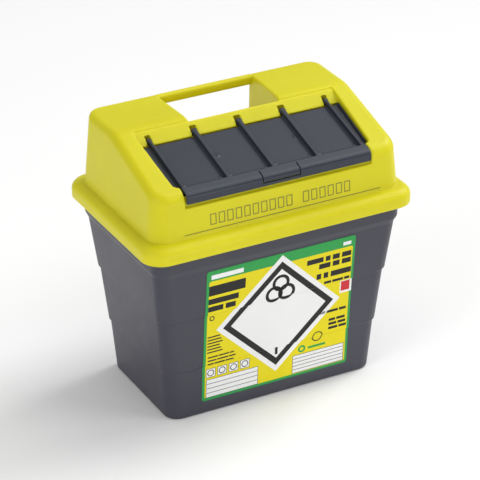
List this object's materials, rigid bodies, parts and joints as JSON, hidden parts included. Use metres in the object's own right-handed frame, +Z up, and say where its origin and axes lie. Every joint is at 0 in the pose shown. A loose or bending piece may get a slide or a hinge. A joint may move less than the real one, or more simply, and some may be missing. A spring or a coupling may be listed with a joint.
{
  "type": "sharps container",
  "caption": "Tapered bin with a clip-on handled lid and a hinged, ribbed disposal flap that locks with a springy tab, with a printed front label.",
  "frame": {"origin": "centre of the footprint, on the plane that the container stands on", "axes": "+Z up; the front with the label and the flap's lip faces -Y; +X to the right seen from the front"},
  "size_m": [0.294, 0.1962, 0.2853],
  "materials": {
    "bin_slate": "fine satin moulded polypropylene, slate grey",
    "lid_yellow": "softly glossy, slightly translucent moulded polypropylene, yellow",
    "flap_slate": "satin moulded polypropylene, slate grey",
    "label_film": "printed self-adhesive film, satin"
  },
  "bodies": {
    "base": {"container_base": "bin_slate", "front_label": "label_film"},
    "lid": {"lid_shell": "lid_yellow", "carry_handle": "lid_yellow", "hinge_strip": "lid_yellow", "catch_front": "lid_yellow", "catch_back": "lid_yellow", "catch_left": "lid_yellow", "catch_right": "lid_yellow"},
    "flap": {"flap_door": "flap_slate"},
    "latch": {"flap_latch": "flap_slate"}
  },
  "joints": [
    {"name": "lid_lift", "type": "slide", "parent": "base", "child": "lid", "axis": [0, 0, 1], "range_m": [0, 0.12], "deforming": ["catch_front", "catch_back", "catch_left", "catch_right"]},
    {"name": "flap_hinge", "type": "hinge", "parent": "lid", "child": "flap", "pos_m": [0, 0.003, 0.273], "axis": [-1, 0, 0], "range_deg": [0, 90]},
    {"name": "latch_flex", "type": "hinge", "parent": "flap", "child": "latch", "pos_m": [0, -0.0811, 0.2544], "axis": [1, 0, 0], "range_deg": [0, 7], "stiffness_Nm_per_rad": 0.6}
  ]
}
